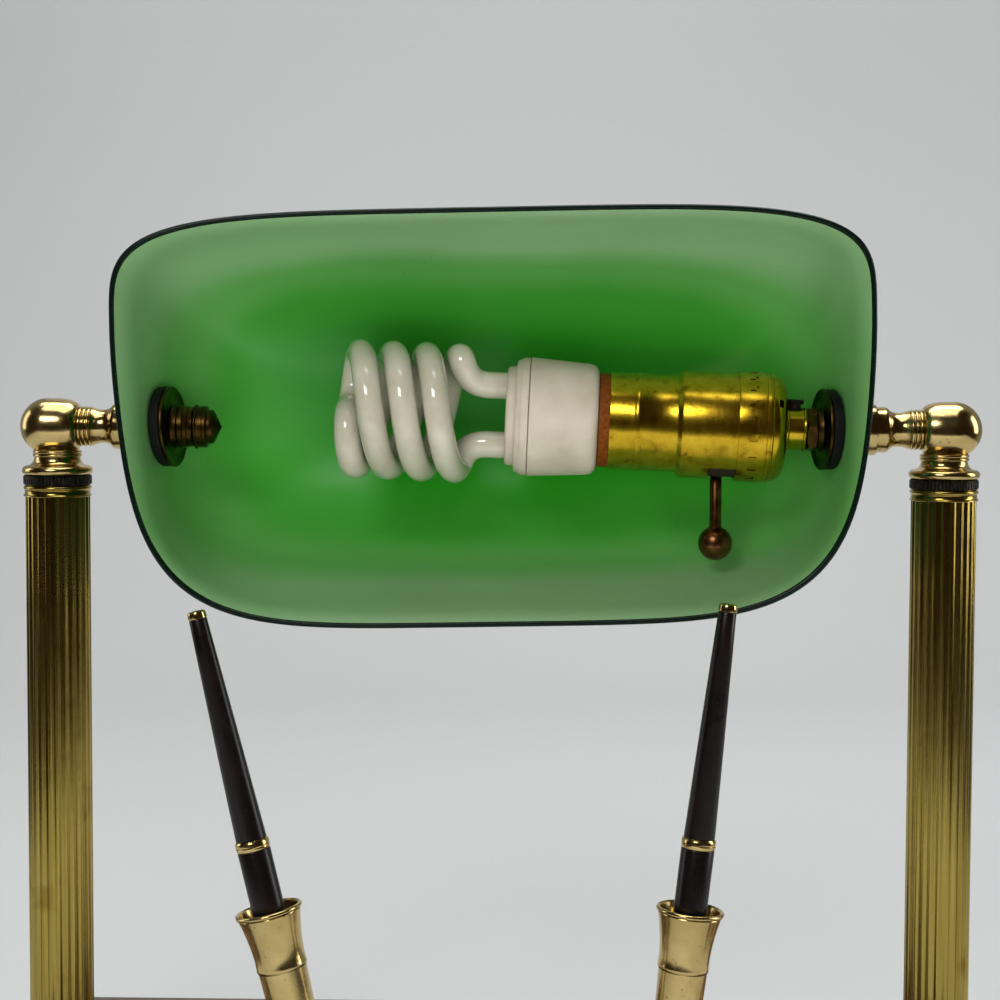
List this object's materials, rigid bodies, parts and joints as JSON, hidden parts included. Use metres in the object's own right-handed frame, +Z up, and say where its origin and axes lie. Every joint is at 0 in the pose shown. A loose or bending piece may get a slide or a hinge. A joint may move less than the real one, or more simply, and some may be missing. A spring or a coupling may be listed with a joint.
{
  "type": "bankers_lamp",
  "caption": "Brass bankers lamp with a turning green glass shade on fluted posts, a spiral bulb in a lever socket, and pens in swivel cups on a wooden base",
  "frame": {"origin": "Middle of the base on the desk, under the middle of the shade's axle", "axes": "+X to the right along the axle, +Y to the back, +Z up"},
  "size_m": [0.36, 0.17, 0.3109],
  "materials": {
    "walnut": "satin varnish",
    "steel": "zinc plated",
    "black_steel": "black oxide",
    "rubber": "moulded",
    "connector_plastic": "moulded",
    "brass": "polished and lacquered",
    "dark_brass": "aged patina",
    "card_liner": "fibre tube",
    "porcelain": "unglazed",
    "lead_sleeve": "twin lead in a sleeve",
    "green_glass": "cased green glass",
    "bulb_plastic": "moulded",
    "bulb_glass": "white inside coating",
    "nickel": "plated",
    "black_plastic": "polished",
    "pen_steel": "bright"
  },
  "bodies": {
    "lamp": {"base_plinth": "walnut", "base_weight": "steel", "bottom_cover": "black_steel", "rubber_feet": "rubber", "cover_screws": "steel", "cord_bushing": "rubber", "wire_connectors": "connector_plastic", "left_post_foot": "brass", "right_post_foot": "brass", "left_post_tube": "brass", "right_post_tube": "brass", "left_tie_rod": "steel", "right_tie_rod": "steel", "rod_nuts": "steel", "post_collars": "brass", "knurled_rings": "black_steel", "left_elbow": "brass", "right_elbow": "brass", "left_arm": "brass", "right_arm": "brass", "left_nipple": "dark_brass", "right_nipple": "dark_brass", "left_lock_nut": "dark_brass", "left_finial": "dark_brass", "right_hex_nut": "dark_brass", "socket_cap": "brass", "socket_set_screw": "black_steel", "socket_shell": "brass", "socket_liner": "card_liner", "switch_block": "porcelain", "screw_shell": "brass", "centre_contact": "dark_brass", "terminal_screws": "steel", "supply_lead": "lead_sleeve", "pen_plates": "brass", "pen_plate_screws": "brass"},
    "shade": {"glass_shade": "green_glass", "inner_gaskets": "rubber", "outer_gaskets": "rubber", "inner_washers": "dark_brass", "outer_washers": "dark_brass"},
    "switch_lever": {"lever_rod": "dark_brass", "lever_ball": "dark_brass"},
    "bulb": {"bulb_housing": "bulb_plastic", "bulb_collar": "bulb_plastic", "bulb_tube": "bulb_glass", "bulb_screw_cap": "nickel", "bulb_contact": "dark_brass"},
    "left_pen_base": {"left_swivel": "brass", "left_swivel_pin": "steel"},
    "right_pen_base": {"right_swivel": "brass", "right_swivel_pin": "steel"},
    "left_pen_cup": {"left_funnel": "brass"},
    "right_pen_cup": {"right_funnel": "brass"},
    "left_pen": {"left_pen_barrel": "black_plastic", "left_pen_trim": "brass", "left_pen_point": "pen_steel"},
    "right_pen": {"right_pen_barrel": "black_plastic", "right_pen_trim": "brass", "right_pen_point": "pen_steel"}
  },
  "joints": [
    {"name": "shade_tilt", "type": "hinge", "parent": "lamp", "child": "shade", "pos_m": [0, 0, 0.24], "axis": [1, 0, 0], "range_deg": [-15, 95]},
    {"name": "lever_rock", "type": "hinge", "parent": "lamp", "child": "switch_lever", "pos_m": [0.07111, 0, 0.236], "axis": [0, -1, 0], "range_deg": [0, 13]},
    {"name": "bulb_unscrew", "type": "slide", "parent": "lamp", "child": "bulb", "axis": [-0.9991, 0, 0.0419], "range_m": [0, 0.026]},
    {"name": "left_cup_turn", "type": "hinge", "parent": "lamp", "child": "left_pen_base", "pos_m": [-0.053, -0.068, 0.03], "axis": [0, 0, 1], "range_deg": [0, 180]},
    {"name": "right_cup_turn", "type": "hinge", "parent": "lamp", "child": "right_pen_base", "pos_m": [0.053, -0.068, 0.03], "axis": [0, 0, 1], "range_deg": [-180, 0]},
    {"name": "left_cup_tilt", "type": "hinge", "parent": "left_pen_base", "child": "left_pen_cup", "pos_m": [-0.053, -0.068, 0.036], "axis": [0, 1, 0], "range_deg": [-16, 13]},
    {"name": "right_cup_tilt", "type": "hinge", "parent": "right_pen_base", "child": "right_pen_cup", "pos_m": [0.053, -0.068, 0.036], "axis": [0, 1, 0], "range_deg": [-6, 23]},
    {"name": "left_pen_lift", "type": "slide", "parent": "left_pen_cup", "child": "left_pen", "axis": [0.2317, 0, -0.9728], "range_m": [-0.06, 0]},
    {"name": "right_pen_lift", "type": "slide", "parent": "right_pen_cup", "child": "right_pen", "axis": [-0.1132, 0, -0.9936], "range_m": [-0.06, 0]}
  ]
}
